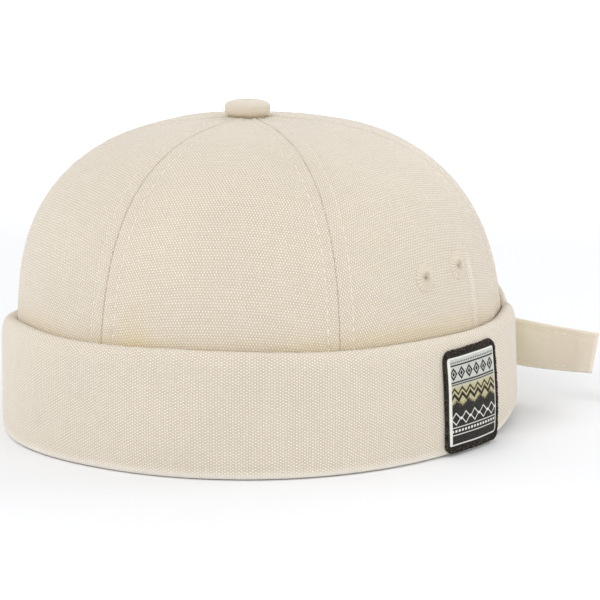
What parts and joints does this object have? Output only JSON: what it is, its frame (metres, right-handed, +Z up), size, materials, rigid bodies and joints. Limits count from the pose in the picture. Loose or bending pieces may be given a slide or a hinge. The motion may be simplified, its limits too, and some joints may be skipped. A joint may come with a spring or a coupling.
{
  "type": "brimless docker cap",
  "caption": "Brimless cloth docker cap with a panelled domed crown, a turned-up cuff with a woven patch, and an adjusting strap at the open back.",
  "frame": {"origin": "middle of the head opening, on the plane that the cap rests on", "axes": "+Z up through the crown, -Y the way the wearer faces, +X the wearer's left"},
  "size_m": [0.1908, 0.2055, 0.1264],
  "materials": {
    "canvas": "cream plain-weave cotton canvas, matt",
    "cuff_canvas": "cream plain-weave cotton canvas cut on the bias, matt",
    "strap_canvas": "cream cotton canvas strip, matt",
    "thread": "cream embroidery thread, soft sheen",
    "overlock": "near-black overlock thread",
    "label": "damask-woven label in grey, straw and black",
    "steel": "satin nickel"
  },
  "bodies": {
    "root": {"crown_panel_front_left": "canvas", "crown_panel_side_left": "canvas", "crown_panel_back_left": "canvas", "crown_panel_back_right": "canvas", "crown_panel_side_right": "canvas", "crown_panel_front_right": "canvas", "button": "canvas", "eyelet_left_front": "thread", "eyelet_left_back": "thread", "eyelet_right_front": "thread", "eyelet_right_back": "thread", "cuff": "cuff_canvas", "patch_field": "label", "patch_border": "overlock", "strap": "strap_canvas", "strap_tab": "strap_canvas", "buckle": "steel"}
  },
  "joints": []
}
